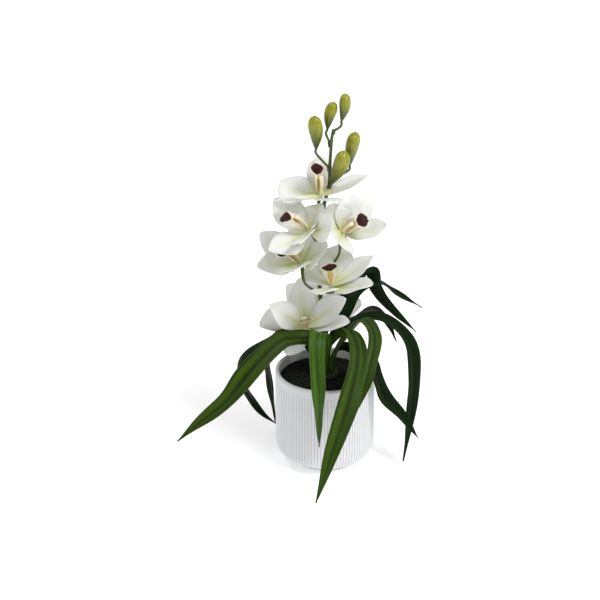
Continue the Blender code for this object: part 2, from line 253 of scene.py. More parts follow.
floor_mesh = bmesh.new()
bmesh.ops.create_grid(floor_mesh, x_segments=1, y_segments=1, size=FLOOR_REACH)
floor_data = bpy.data.meshes.new("floor")
floor_mesh.to_mesh(floor_data)
floor_mesh.free()
floor = bpy.data.objects.new("floor", floor_data)
bpy.context.scene.collection.objects.link(floor)
paint = Finish("pale_floor", Roughness=0.9, Emission_Strength=FLOOR_GLOW)
paint.shader.inputs["Emission Color"].default_value = (1, 1, 1, 1)
grain = paint.noise(paint.place(), 40)
floor_data.materials.append(paint.wear(colour=paint.mix(grain, (0.93, 0.93, 0.93), (0.95, 0.95, 0.95))))
print("floor reaches:", FLOOR_REACH, "m each way")

# %% [markdown]
# ## Turning a bmesh into a piece of the plant
#
# Every piece ends the same way: its mesh becomes an object, it rides on the plant's one body, and it stands
# for a solid. A helper keeps those three lines in one place.

# %% Piece helper


def as_piece(bm, name, material, thickness=0.0, sharp_above=None, lining=None):
    """Makes the object called name, which stands for the solid of the same name without its last word.

    A sheet is given its thickness; its lining is the finish of the side that its faces look away from.
    """
    mesh = bpy.data.meshes.new(name)
    bm.to_mesh(mesh)
    bm.free()
    mesh.shade_smooth()
    if sharp_above:
        mesh.set_sharp_from_angle(angle=math.radians(sharp_above))
    mesh.materials.append(material)
    piece = bpy.data.objects.new(name, mesh)
    bpy.context.scene.collection.objects.link(piece)
    if thickness:
        wall = piece.modifiers.new("thickness", "SOLIDIFY")
        wall.thickness = thickness
        wall.offset = 0
        if lining:
            mesh.materials.append(lining)
            wall.material_offset = 1
    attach(piece, "root")
    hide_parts(name.rsplit("_", 1)[0])
    print(name, "has", len(mesh.polygons), "faces")


# %% [markdown]
# ## Smooth lines through a few points
#
# Leaves, stalks and buds all follow a line that is known at a few points. A Catmull-Rom curve passes
# through every one of them, and walking along it in even steps keeps the mesh even.

# %% Line helpers


def smooth_point(points, share):
    """The point this share of the way through the points, on a Catmull-Rom curve."""
    points = np.asarray(points, float)
    ends = np.vstack([2 * points[0] - points[1], points, 2 * points[-1] - points[-2]])
    place = min(share * (len(points) - 1), len(points) - 1 - 1e-9)
    first = int(place)
    t = place - first
    a, b, c, d = ends[first:first + 4]
    return 0.5 * (2 * b + (c - a) * t + (2 * a - 5 * b + 4 * c - d) * t**2 + (3 * b - a - 3 * c + d) * t**3)


def even_points(points, count):
    """Points spaced evenly along the smooth curve through the given ones."""
    fine = np.array([smooth_point(points, i / 400) for i in range(401)])
    steps = np.linalg.norm(np.diff(fine[:, :3], axis=0), axis=1)
    travelled = np.concatenate([[0], np.cumsum(steps)])
    wanted = np.linspace(0, travelled[-1], count)
    return np.array([[np.interp(w, travelled, fine[:, k]) for k in range(fine.shape[1])] for w in wanted])


def smooth_step(value):
    """0 below 0 and 1 above 1, with a smooth rise between them."""
    value = min(max(value, 0.0), 1.0)
    return value * value * (3 - 2 * value)


print("a curve from 0 by 1 to 4 passes", smooth_point([[0], [1], [4]], 0.5)[0], "halfway")

# %% [markdown]
# ## Stalks and turned shapes
#
# Two kinds of round shape come back again and again. A stalk is a ring extruded from point to point along a
# line, because a curve object's bevel couldn't change its cross-section or carry a value for the material.
# A turned shape is half its section, spun once round the upright axis.

# %% Stalk and turning helpers


def rim_edges(ring):
    """The edges that join the points of one ring."""
    edges = {edge for vert in ring for edge in vert.link_edges}
    return [edge for edge in edges if all(vert in ring for vert in edge.verts)]


def sweep(bm, line, radii, sides, lobes=0.0, flat=1.0):
    """Grows a closed round stalk along the line by extruding a ring from each point to the next."""
    share_along = bm.verts.layers.float.get("along") or bm.verts.layers.float.new("along")
    line = [Vector(p) for p in line]
    aim = (line[1] - line[0]).normalized()
    turn = aim.to_track_quat("Z", "Y").to_matrix().to_4x4()
    ring = bmesh.ops.create_circle(bm, cap_ends=True, segments=sides, radius=1)["verts"]
    for vert in ring:
        angle = math.atan2(vert.co.y, vert.co.x)
        vert.co.xy *= 1 - lobes * abs(math.cos(1.5 * angle)) ** 8
        vert.co.y *= flat
    placed = Matrix.Translation(line[0]) @ turn @ Matrix.Scale(radii[0], 4)
    bmesh.ops.transform(bm, matrix=placed, verts=ring)
    for i in range(1, len(line)):
        onward = (line[min(i + 1, len(line) - 1)] - line[i - 1]).normalized()
        turn = aim.rotation_difference(onward).to_matrix().to_4x4() @ turn
        aim = onward
        grown = bmesh.ops.extrude_edge_only(bm, edges=rim_edges(ring))["geom"]
        ring = [g for g in grown if isinstance(g, bmesh.types.BMVert)]
        target = Matrix.Translation(line[i]) @ turn @ Matrix.Scale(radii[i], 4)
        bmesh.ops.transform(bm, matrix=target @ placed.inverted(), verts=ring)
        placed = target
        for vert in ring:
            vert[share_along] = i / (len(line) - 1)
    bmesh.ops.contextual_create(bm, geom=rim_edges(ring))


def turned(outline, steps):
    """A new mesh: an outline of (radius, height) points spun once round the upright axis."""
    bm = bmesh.new()
    points = [bm.verts.new((radius, 0, height)) for radius, height in outline]
    edges = [bm.edges.new(pair) for pair in zip(points, points[1:])]
    bmesh.ops.spin(bm, geom=points + edges, cent=(0, 0, 0), axis=(0, 0, 1), angle=math.tau, steps=steps,
                   use_merge=True)
    bmesh.ops.remove_doubles(bm, verts=bm.verts, dist=0.01 * MM)
    bmesh.ops.recalc_face_normals(bm, faces=bm.faces)
    return bm


print("round shapes:", sweep.__name__, "and", turned.__name__)

# %% [markdown]
# ## The pot
#
# The real pot is slip-cast: one wall, a plain rolled rim, a rounded shoulder and a small plain foot. All of
# that is round, so half of its section is enough, and spinning it gives the body.

# %% Pot section
POT_HEIGHT = 122.6
POT_RADIUS = 62.5
POT_WALL = 5
POT_FLOOR = 6
SHOULDER_HIGH = 32


def wall_profile():
    """The pot's half section in (radius, height): up the outside, over the rim and down the inside."""
    foot = [(0, 1.6), (37, 1.6), (38.2, 0.4), (39, 0), (42, 0), (43, 0.9), (43.4, 3.5), (44.2, 6.4)]
    foot += [(46, 7.4)]
    turns = np.linspace(0.12, math.pi / 2, 12)
    shoulder = [(46 + 16.5 * math.sin(turn), 26 - 18.6 * math.cos(turn)) for turn in turns]
    wall = [(POT_RADIUS, z) for z in np.linspace(SHOULDER_HIGH, 118, 12)] + [(POT_RADIUS, POT_HEIGHT - 2.2)]
    bore = POT_RADIUS - POT_WALL
    outer_lip = [(POT_RADIUS - 0.3, POT_HEIGHT - 0.9), (POT_RADIUS - 1.1, POT_HEIGHT - 0.2)]
    inner_lip = [(bore + 1.1, POT_HEIGHT - 0.2), (bore + 0.3, POT_HEIGHT - 0.9), (bore, POT_HEIGHT - 2.2)]
    rim = outer_lip + [(POT_RADIUS - POT_WALL / 2, POT_HEIGHT)] + inner_lip
    inside = [(bore, 100), (bore, 60), (bore, 26), (38, POT_FLOOR), (0, POT_FLOOR)]
    return [(r * MM, z * MM) for r, z in foot + shoulder + wall + rim + inside]


print("pot section:", len(wall_profile()), "points")

# %% [markdown]
# ## The flutes
#
# Fine vertical flutes run from the shoulder to just below the rim and fade out at both ends. A bump would
# shade them but leave the outline smooth, so the wall's points are really drawn in between the ribs. Each
# point also keeps how deep it was drawn in, so that the glaze can be painted darker there: painted shade in
# the grooves.

# %% Spin and flute the pot
FLUTES = 96
FLUTE_DEPTH = 0.9 * MM
STEPS_PER_FLUTE = 6
FLUTE_TOP = 118 * MM
FLUTE_BOTTOM = 9 * MM
FLUTES_FROM_RADIUS = 46.5 * MM

pot_mesh = turned(wall_profile(), FLUTES * STEPS_PER_FLUTE)
groove_depth = pot_mesh.verts.layers.float.new("groove")
for vert in pot_mesh.verts:
    radius = vert.co.xy.length
    if radius > FLUTES_FROM_RADIUS and vert.co.z < FLUTE_TOP:
        angle = math.atan2(vert.co.y, vert.co.x)
        fade_up = smooth_step((FLUTE_TOP - vert.co.z) / (5 * MM))
        fade_down = smooth_step((vert.co.z - FLUTE_BOTTOM) / (4 * MM))
        groove = (1 - abs(math.cos(angle * FLUTES / 2))) * (fade_up * fade_down)
        vert[groove_depth] = groove
        vert.co.xy *= 1 - FLUTE_DEPTH * groove / radius
print("pot ribs:", FLUTES)

# %% [markdown]
# ## The glaze
#
# A satin white glaze over a slip-cast body: a thin coat, a cloudiness as wide as a hand and a fine mottle
# in the gloss. A clear gloss coat alone would look like plastic.

# %% Glaze the pot
GLAZE_THIN = (0.68, 0.69, 0.71)
GLAZE_THICK = (0.76, 0.77, 0.78)
# The grey of the painted shade in the flutes' grooves
GROOVE_PAINTED_SHADE = (0.36, 0.36, 0.39)

glaze = Finish("white_glaze", Roughness=0.42, Coat_Weight=0.15, Coat_Roughness=0.25)
mottle = glaze.noise(glaze.place(), 55, detail=5)
cloud = glaze.noise(glaze.place(), 9)
shade_in_groove = glaze.add("Attribute", {"attribute_name": "groove"}, output=2)
porcelain = glaze.mix(cloud, GLAZE_THIN, GLAZE_THICK)
# The grooves are painted a darker grey: painted shade in the flutes.
as_piece(pot_mesh, "pot_fluted", glaze.wear(
    colour=glaze.mix(shade_in_groove.between(0.35, 1.0) * 0.55, porcelain, GROOVE_PAINTED_SHADE),
    roughness=0.36 + 0.16 * mottle, height=mottle, strength=0.12), sharp_above=50)

# %% [markdown]
# ## Bark and moss
#
# The roots sit in dark bark. A low dome of ground, roughened, carries a few hundred chips; each chip is a
# small bevelled block, turned at random from a fixed seed so that it falls the same way every time.

# %% Growing medium
MEDIUM_EDGE = 57.1 * MM
MEDIUM_BOTTOM = 96 * MM
MEDIUM_AT_WALL = 110.6 * MM
MEDIUM_DOME = 2 * MM
CHIPS = 300
CHIP_REACH = 52 * MM
# The least and the most of a chip's length, breadth and thickness, in millimetres
CHIP_SIZES = [(5, 9), (3, 5), (1.5, 3)]


def medium_top(radius):
    """The height of the ground at this distance from the middle."""
    return MEDIUM_AT_WALL + MEDIUM_DOME * (1 - (radius / MEDIUM_EDGE) ** 2)


chance = random.Random(7)
ground = [(0, medium_top(0))] + [(r, medium_top(r)) for r in np.linspace(4 * MM, MEDIUM_EDGE, 16)]
bark = turned(ground + [(MEDIUM_EDGE, MEDIUM_BOTTOM), (0, MEDIUM_BOTTOM)], 72)
for vert in bark.verts:
    if vert.co.z > 100 * MM and vert.co.xy.length < 56 * MM:
        vert.co.z += chance.uniform(-0.8, 0.4) * MM
print("ground:", round(medium_top(0) / MM, 1), "mm high in the middle")

# %% Bark chips
for _ in range(CHIPS):
    reach = CHIP_REACH * math.sqrt(chance.random())
    around = chance.uniform(0, math.tau)
    chip = bmesh.ops.create_cube(bark, size=1)["verts"]
    chip_edges = list({edge for vert in chip for edge in vert.link_edges})
    bevelled = bmesh.ops.bevel(bark, geom=chip_edges, offset=0.16, offset_type="OFFSET", segments=1,
                               profile=0.5, affect="EDGES", material=-1)["faces"]
    chip = list({vert for face in bevelled for vert in face.verts})
    sizes = [chance.uniform(least, most) * MM for least, most in CHIP_SIZES]
    lean = Matrix.Rotation(chance.uniform(-0.4, 0.4), 4, "X")
    lean @= Matrix.Rotation(chance.uniform(-0.3, 0.3), 4, "Y")
    spot = Matrix.Translation((reach * math.cos(around), reach * math.sin(around), medium_top(reach)))
    placed = spot @ Matrix.Rotation(around * 3, 4, "Z") @ lean @ Matrix.Diagonal((*sizes, 1))
    bmesh.ops.transform(bark, matrix=placed, verts=chip)

soil = Finish("bark_and_moss", Roughness=0.9, Specular_IOR_Level=0.2)
crumb = soil.noise(soil.place(), 320, detail=6)
moss = soil.noise(soil.place(), 28).between(0.48, 0.62)
browns = soil.mix(crumb, (0.002, 0.003, 0.001), (0.014, 0.012, 0.007))
as_piece(bark, "growing_medium_bark", soil.wear(
    colour=soil.mix(moss * 0.7, browns, (0.004, 0.013, 0.002)), roughness=0.8 + 0.2 * crumb, height=crumb,
    strength=0.8, depth=1 * MM), sharp_above=40)
print("bark chips:", CHIPS)

# %% [markdown]
# ## The crown
#
# Leaves and spike rise from a short woody base wrapped in old leaf bases. Spinning its swollen outline gives
# the bulb, and pulling every third column of points inwards leaves the ridges of the wrapping.

# %% Crown
CROWN_HIGH = 8
CROWN_TOP = medium_top(0) + 8.3 * MM
CROWN_RIDGES = 36
# The bulb's outline from its top to its foot: radius, and height above the ground
SWELLING = [(0, 8), (9, 8), (13, 7.7), (14.6, 6.8), (15.7, 5), (16, 3.8), (15.6, 2), (14.6, 0.2),
            (12, -1.5), (0, -1.5)]

crown_mesh = turned([(r * MM, CROWN_TOP + (z - CROWN_HIGH) * MM) for r, z in SWELLING], CROWN_RIDGES * 3)
for vert in crown_mesh.verts:
    column = round(math.atan2(vert.co.y, vert.co.x) / math.tau * CROWN_RIDGES * 3)
    if column % 3 == 0 and vert.co.xy.length > 10 * MM:
        vert.co.xy *= 0.965

# The old leaf bases are dark brown-green: partly their own colour, partly painted shade low among the
# leaves.
husk = Finish("old_leaf_bases", Roughness=0.7)
fibre = husk.noise(husk.place((1, 1, 0.12)), 420, detail=4)
as_piece(crown_mesh, "crown_husk", husk.wear(
    colour=husk.mix(fibre, (0.010, 0.013, 0.005), (0.045, 0.052, 0.018)), roughness=0.6 + 0.3 * fibre,
    height=fibre, strength=0.6))
print("crown ridges:", CROWN_RIDGES)

# %% [markdown]
# ## A leaf's surface
#
# A strap leaf is painted darker down its groove, as shade in the crease, and a highlight may be painted on
# the blade beside the groove; it has fine parallel veins and a paler edge. All of those run with the blade,
# so the material reads the blade's own map: across in u and along in v. Noise stretched far along v gives
# veins that fade in and out like real ones. Leaves at the back get an almost black copy of the green,
# which is painted shade.

# %% Leaf finish
SHADED_SHEATH_GREEN = (0.05, 0.08, 0.018)


def leaf_finish(name, dark, light, middle=0.0, specular=0.15):
    """Leaf green from dark to light, painted shade in its groove; a middle over 0 paints a highlight beside
    it.
    """
    skin = Finish(name, Roughness=0.4, Specular_IOR_Level=specular)
    across, along = skin.across_and_along()
    veins = skin.noise(skin.add("CombineXYZ", {}, {0: across * 26, 1: along * 1.3, 2: 0.0}), 1.0, detail=4,
                       roughness=0.6)
    broad = skin.noise(skin.add("CombineXYZ", {}, {0: across * 3, 1: along * 2.2, 2: 4.0}), 1.0)
    fine = skin.noise(skin.add("CombineXYZ", {}, {0: across * 90, 1: along * 3, 2: 1.0}), 1.0, detail=2)
    from_middle = (across - 0.5).size() * 2
    groove = 1 - from_middle.between(0.0, 0.10)
    rim = from_middle.between(0.90, 1.0)
    # Painted highlight: the blade beside the groove is paler, where the fold would catch the light.
    painted_highlight = from_middle.between(0.08, 0.35) * from_middle.between(0.85, 0.55) * middle
    tone = (veins.between(0.36, 0.68) * 0.6 + broad.between(0.35, 0.65) * 0.45 + painted_highlight).capped()
    green = skin.mix(tone, dark, light)
    # Painted shade: the groove is darkened as if the crease were in shadow.
    green = skin.mix(groove * 0.4, green, tuple(c * 0.45 for c in dark))
    green = skin.mix(rim * 0.5, green, tuple(c * 1.3 for c in light))
    # Darker green at the leaf's base: partly the sheath's own colour, partly painted shade low in the crown.
    green = skin.mix(along.between(0.12, 0.0) * 0.7, green, SHADED_SHEATH_GREEN)
    return skin.wear(colour=green, roughness=0.36 + 0.2 * broad, height=fine, strength=0.25, depth=0.4 * MM)


# The leaves at the back share the same green made almost black: painted shade.
SHADED_REAR_GREEN = leaf_finish("leaf_painted_shade_green", (0.0010, 0.005, 0.0006), (0.0065, 0.024, 0.0018), specular=0.08)
LONG_GREEN = leaf_finish("leaf_olive_green", (0.003, 0.014, 0.0003), (0.042, 0.088, 0.001), middle=0.15)
SIDE_GREEN = leaf_finish("leaf_dark_edged", (0.0015, 0.009, 0.0003), (0.040, 0.082, 0.001), middle=0.25)
FRONT_GREEN = leaf_finish("leaf_mid_green", (0.010, 0.038, 0.002), (0.062, 0.145, 0.008), middle=0.10)
print("leaf finishes:", 4)

# %% [markdown]
# ## The leaves
#
# Each leaf is a long narrow grid bent along its midrib. At its base a real blade is folded shut around its
# neighbours and opens further up, so the keel angle falls from steep to shallow. Low ribs and a slow wave
# along the edges keep it from looking like cut card.

# %% Leaf sizes
LEAF_ACROSS = 14
LEAF_ALONG = 96
LEAF_THICK = 0.9 * MM
LEAF_BASE = 11.0
FOLDED = math.radians(58)
OPEN = math.radians(14)
GROOVE_SOFTNESS = 0.006
RIB_HEIGHT = 0.10 * MM
EDGE_WAVE = 0.9 * MM
EDGE_DROP = 0.9 * MM
# Where a leaf leaves the crown: its distance from the middle, and how far up it stays in its sheath
RINGS = {"outer": (13 * MM, 20 * MM), "inner": (8 * MM, 30 * MM)}

# Each leaf: its width, the ring and compass angle of its base, then the points of its midrib in millimetres,
# each with the roll of the blade in degrees.
LEAVES = {
    "leaf_1": (29, "inner", 230, [
        (-18, -34, 181, 45), (-41, -43, 185, 20), (-59, -50, 181, 20), (-92, -68, 153, 32),
        (-121, -75, 117, 25), (-157, -79, 87, 40), (-180, -80, 65, 40)]),
    "leaf_2": (22, "outer", 196, [
        (-38, 20, 159, 42), (-78, 38, 136, 40), (-107, 52, 102, 60), (-110, 55, 80, 40),
        (-85, 57, 32, 20), (-60, 57, 8, 0)]),
    "leaf_3": (18, "inner", 166, [
        (-30, 26, 152, 26), (-54, 44, 150, 20), (-75, 59, 130, 5), (-73, 62, 90, 20), (-64, 61, 9, 0)]),
    "leaf_4": (21, "outer", 268, [
        (0, -27, 174, -10), (-10, -57, 199, 15), (-12, -78, 181, 30), (-10, -86, 131, 36),
        (-8, -85, 60, 50)]),
    "leaf_5": (28, "inner", 288, [
        (25, -31, 191, 8), (36, -75, 183, 42), (27, -108, 144, 30), (5, -141, 85, 5),
        (-13, -160, 29, 3)]),
    "leaf_6": (21, "outer", 320, [
        (40, -14, 195, -18), (57, -45, 191, 34), (50, -70, 158, 26), (41, -80, 133, -4),
        (20, -93, 83, -10)]),
    "leaf_7": (20, "outer", 355, [
        (24, -2, 154, -46), (51, -20, 149, -23), (62, -30, 128, -18), (73, -36, 102, -29),
        (94, -40, 79, -46), (115, -43, 48, -45)]),
    "leaf_8": (20, "inner", 25, [
        (30, 4, 184, -37), (69, 6, 190, -1), (103, 0, 161, -21), (110, -12, 115, -40),
        (105, -24, 55, -55), (99, -33, 8, -45)]),
    "leaf_9": (14, "inner", 72, [
        (26, 14, 175, 68), (57, 28, 191, 52), (77, 36, 172, 50), (91, 42, 140, 60)]),
    "leaf_10": (15, "outer", 90, [
        (22, 22, 182, -52), (40, 36, 210, -15), (66, 48, 219, 0), (89, 54, 203, -35),
        (124, 62, 178, -44)]),
    "leaf_11": (18, "inner", 120, [
        (8, 32, 178, 105), (54, 54, 231, 60), (65, 64, 203, 57), (81, 70, 178, 65),
        (119, 78, 136, 64)]),
}
LEAF_GREENS = {"leaf_1": SIDE_GREEN, "leaf_4": FRONT_GREEN, "leaf_5": LONG_GREEN, "leaf_6": LONG_GREEN}
print("leaves:", len(LEAVES))

# %% [markdown]
# ## Bending a grid into a blade
#
# A flat grid keeps neat rows, which ribs and veins need, and each of its points starts out at a known share
# across and along the leaf. Walking the midrib, each row is laid square to the line, rolled by the leaf's
# own twist, folded about its groove and narrowed to the leaf's outline.

# %% Leaf shape


def mapped_grid(bm, across, along):
    """Adds a flat grid one unit square to the mesh, with its map, and gives back its points."""
    verts = bmesh.ops.create_grid(bm, x_segments=across, y_segments=along, size=0.5)["verts"]
    chart = bm.loops.layers.uv.get("blade") or bm.loops.layers.uv.new("blade")
    for face in {face for vert in verts for face in vert.link_faces}:
        for loop in face.loops:
            loop[chart].uv = (loop.vert.co.x + 0.5, loop.vert.co.y + 0.5)
    return verts


def leaf_width(width, share):
    """Narrow at its base, widest at the middle and pointed at its tip."""
    rise = min(max(share - 0.1, 0.0) / 0.35, 1.0)
    swelling = LEAF_BASE + (width - LEAF_BASE) * rise * rise * (3 - 2 * rise)
    falling = 1 - max((share - 0.55) / 0.45, 0.0) ** 1.8
    return max(swelling * falling, 0.035 * width)


def leaf_line(ring, compass, points):
    """The midrib, evenly spaced, with the roll of the blade; its base is rolled to lie along its ring."""
    radius, sheath = RINGS[ring]
    out = np.array([math.cos(math.radians(compass)), math.sin(math.radians(compass)), 0.0])
    foot = out * radius + (0, 0, CROWN_TOP + 0.3 * MM)
    neck = out * radius + (0, 0, CROWN_TOP + sheath)
    tip = np.array(points[-1][:2]) * MM - foot[:2]
    along_ring = math.atan2(tip[1], tip[0]) - math.radians(compass)
    first_roll = math.radians(points[0][3])
    round_ring = along_ring + math.pi * round((first_roll - along_ring) / math.pi)
    line = [(*foot, round_ring), (*neck, round_ring)]
    line += [(x * MM, y * MM, z * MM, math.radians(turn)) for x, y, z, turn in points]
    return even_points(line, LEAF_ALONG + 1)


print("a leaf 28 mm wide is", round(leaf_width(28, 0.5), 1), "mm wide halfway along")

# %% Leaf blade


def leaf_blade(name, width, ring, compass, points, phase):
    """Makes one leaf and gives back its length."""
    line = leaf_line(ring, compass, points)
    flow = np.gradient(line[:, :3], axis=0)
    flow /= np.linalg.norm(flow, axis=1)[:, None]
    level = np.cross((0, 0, 1), line[-1, :3] - line[0, :3])
    level /= np.linalg.norm(level)
    bm = bmesh.new()
    for vert in mapped_grid(bm, LEAF_ACROSS, LEAF_ALONG):
        share = vert.co.y + 0.5
        step = round(share * LEAF_ALONG)
        side = level - flow[step] * (level @ flow[step])
        side /= np.linalg.norm(side)
        down = np.cross(side, flow[step])
        turn = line[step, 3]
        level_side, level_down = side, down
        side = level_side * math.cos(turn) + level_down * math.sin(turn)
        down = level_down * math.cos(turn) - level_side * math.sin(turn)
        half = leaf_width(width, share) * MM / 2
        across = vert.co.x * 2
        keel = OPEN + (FOLDED - OPEN) * (1 - smooth_step(share / 0.30))
        spread = math.sqrt(across * across + GROOVE_SOFTNESS) - math.sqrt(GROOVE_SOFTNESS)
        ribs = RIB_HEIGHT * math.cos(across * 21) * (1 - across * across)
        wave = EDGE_WAVE * across * abs(across) * math.sin(9 * share * math.pi + phase)
        wave *= smooth_step(share * 3)
        drop = EDGE_DROP * across**4 * smooth_step(share * 4)
        rise = spread * half * math.sin(keel) - drop + ribs + wave
        vert.co = Vector(line[step, :3] + side * across * half * math.cos(keel) - down * rise)
    bmesh.ops.recalc_face_normals(bm, faces=bm.faces)
    as_piece(bm, name + "_blade", LEAF_GREENS.get(name, SHADED_REAR_GREEN), thickness=LEAF_THICK)
    return np.linalg.norm(np.diff(line[:, :3], axis=0), axis=1).sum()


# %% Grow the leaves
for order, (leaf_name, leaf) in enumerate(LEAVES.items()):
    long = leaf_blade(leaf_name, *leaf, phase=2.4 * order)
    print(leaf_name, "is", round(long / MM), "mm long")

# %% [markdown]
# ## A petal's surface
#
# A petal is white because light scatters inside it, so the white has a little subsurface scattering. Green
# gathers at the claw and along the middle, faint veins run outwards, and the thin edges are painted a
# cooler grey as shade where they turn from the light.

# %% Petal finish
EDGE_PAINTED_SHADE = (0.56, 0.60, 0.60)
VEIN_GREY = (0.60, 0.64, 0.62)


def petal_finish(name, white, claw_tint, tint_reach):
    """White with a green claw; the green reaches this share of the way out to the tip."""
    skin = Finish(name, Roughness=0.5, Subsurface_Weight=0.25, Subsurface_Scale=1.5 * MM, Sheen_Weight=0.08)
    skin.shader.inputs["Subsurface Radius"].default_value = (1.0, 0.9, 0.6)
    across, along = skin.across_and_along()
    from_middle = (across - 0.5).size() * 2
    veins = skin.noise(skin.add("CombineXYZ", {}, {0: across * 22, 1: along * 1.6, 2: 2.0}), 1.0, detail=3)
    cloud = skin.noise(skin.place(), 70, detail=2)
    sparkle = skin.noise(skin.place(), 1400, detail=1)
    claw = along.between(tint_reach, 0.02)
    middle = from_middle.between(0.42, 0.0) * along.between(0.95, 0.25)
    tint = (claw * 0.85 + middle * 0.5 + veins.between(0.50, 0.75) * 0.16).capped()
    colour = skin.mix(tint, white, claw_tint)
    colour = skin.mix(cloud.between(0.45, 0.75) * 0.25, colour, tuple(c * 0.90 for c in white))
    # Painted shade: the edges are greyed as if turned away from the light.
    colour = skin.mix(from_middle.between(0.78, 1.0) * 0.40, colour, EDGE_PAINTED_SHADE)
    colour = skin.mix(veins.between(0.42, 0.25) * 0.30, colour, VEIN_GREY)
    return skin.wear(colour=colour, roughness=0.42 + 0.16 * veins, height=veins * 0.8 + sparkle * 0.2,
                     strength=0.22, depth=0.5 * MM)


SEPAL_WHITE = petal_finish("sepal_white", (0.78, 0.79, 0.76), (0.52, 0.58, 0.20), 0.50)
PETAL_WHITE = petal_finish("petal_white", (0.82, 0.83, 0.81), (0.60, 0.62, 0.24), 0.42)
print("petal finishes:", 2)

# %% [markdown]
# ## The lip's surface
#
# The lip is cream with a faint pink edge, a dark velvety blotch on its outer lobe, a yellow ridge in its
# throat and a few freckles. The blotch is the distance from a point on the lobe, with noise added before
# it is cut off, so that its edge is ragged as if it had been painted wet.

# %% Lip lining
VELVET = (0.034, 0.006, 0.006)
LIP_CREAM = (0.80, 0.77, 0.62)
LIP_PINK = (0.77, 0.68, 0.62)
THROAT_YELLOW = (0.72, 0.50, 0.14)
FRECKLE = (0.30, 0.05, 0.05)
# The blotch's middle and its reach, each as a share across and along the lip
BLOTCH_MIDDLE = (0.5, 0.80)
BLOTCH_REACH = (0.46, 0.20)

lining = Finish("lip_blotched", Roughness=0.5, Specular_IOR_Level=0.2, Subsurface_Weight=0.15,
                Subsurface_Scale=1 * MM)
across, along = lining.across_and_along()
from_middle = (across - 0.5).size() * 2
ragged = lining.noise(lining.add("CombineXYZ", {}, {0: across * 9, 1: along * 6, 2: 0.0}), 1.0, detail=3)
spots = lining.noise(lining.add("CombineXYZ", {}, {0: across * 30, 1: along * 24, 2: 5.0}), 1.0)
lobe_along = (along - BLOTCH_MIDDLE[1]) / BLOTCH_REACH[1]
lobe_across = (across - BLOTCH_MIDDLE[0]) / BLOTCH_REACH[0]
from_lobe = (lobe_along * lobe_along + lobe_across * lobe_across) ** 0.5 + (ragged - 0.5) * 0.45
throat = from_middle.between(0.42, 0.18) * along.between(0.66, 0.50)
freckled = spots.between(0.60, 0.68) * along.between(0.62, 0.30)
cream = lining.mix(from_middle.between(0.62, 1.0), LIP_CREAM, LIP_PINK)
cream = lining.mix(throat, cream, THROAT_YELLOW)
cream = lining.mix(freckled * 0.6, cream, FRECKLE)
LIP_LINING = lining.wear(
    colour=lining.mix(from_lobe.between(1.02, 0.86), cream, VELVET), roughness=0.40 + 0.25 * ragged,
    height=ragged, strength=0.4, depth=0.8 * MM)
print("blotch ends at", BLOTCH_MIDDLE[1] + BLOTCH_REACH[1], "of the lip's length")

# %% [markdown]
# ## The lip's back and the column
#
# From behind, a lip is duller: cream that yellows towards its claw, with brown veins and a dark tip where
# the blotch shows through. The column is thick and waxy, and its material reads how far up it a point is.

# %% Lip back and column finish
back = Finish("lip_back", Roughness=0.5, Subsurface_Weight=0.15, Subsurface_Scale=1 * MM)
across, along = back.across_and_along()
veins = back.noise(back.add("CombineXYZ", {}, {0: across * 24, 1: along * 2, 2: 3.0}), 1.0)
cream = back.mix(along.between(0.75, 0.05), (0.76, 0.70, 0.50), (0.60, 0.50, 0.14))
cream = back.mix(along.between(0.86, 0.96) * 0.8, cream, (0.10, 0.03, 0.02))
LIP_BACK = back.wear(colour=back.mix(veins.between(0.45, 0.7) * 0.7, cream, (0.42, 0.24, 0.08)),
                     roughness=0.45 + 0.15 * veins, height=veins, strength=0.3)

wax = Finish("column_cream", Roughness=0.35, Subsurface_Weight=0.2, Subsurface_Scale=1 * MM)
up_column = wax.add("Attribute", {"attribute_name": "along"}, output=2)
speck = wax.noise(wax.place(), 700)
cream = wax.mix(up_column.between(0.75, 0.95), (0.80, 0.74, 0.50), (0.86, 0.84, 0.72))
cream = wax.mix(speck.between(0.60, 0.68) * up_column.between(0.7, 0.3) * 0.5, cream, (0.40, 0.12, 0.08))
COLUMN = wax.wear(colour=cream, roughness=0.3 + 0.2 * speck, height=speck, strength=0.15)
print("flower finishes:", ", ".join(skin.name for skin in (SEPAL_WHITE, PETAL_WHITE, LIP_LINING, LIP_BACK)))

# %% [markdown]
# ## Sepals and petals
#
# A bloom has its own frame: +Z out of its face and +Y along its top sepal. Each blade grows out from the
# middle on a curve, cupped across, creased at its midrib, and a little wavy and rolled back at its edges.
# Every blade gets its own mood from the seeded draw, because no two are alike on a real spray.

# %% Blade sizes
TEPAL_ACROSS = 18
TEPAL_ALONG = 28
TEPAL_THICK = 0.8 * MM
TEPAL_CUP = 0.17
CREASE_DEPTH = 0.7 * MM
EDGE_ROLL = 1.2 * MM
# How a blade grows: how broad it is, its turn about its own midrib in radians, and its curl in degrees
USUAL_HABIT = (1.0, 0.0, 24)
HABITS = {
    ("flower_1", "sepals", 2): (1.25, -0.75, 30), ("flower_1", "petals", 1): (0.95, 0.28, 30),
    ("flower_2", "petals", 0): (1.45, 0.0, 24), ("flower_2", "sepals", 0): (1.0, 0.8, 40),
    ("flower_2", "sepals", 2): (1.15, -0.6, 30), ("flower_2", "sepals", 1): (1.12, 0.0, 24),
    ("flower_3", "sepals", 1): (1.1, -0.55, 85), ("flower_3", "petals", 0): (1.3, 0.0, 50),
    ("flower_3", "sepals", 0): (1.3, -0.7, 30),
    ("flower_4", "sepals", 0): (1.3, 0.0, 40), ("flower_5", "sepals", 0): (1.35, 0.0, 20),
    ("flower_6", "sepals", 2): (1.0, -0.65, 30), ("flower_7", "petals", 0): (1.5, 0.0, 24),
    ("flower_7", "sepals", 2): (1.35, 0.0, 24),
}


print("blades with a habit of their own:", len(HABITS))

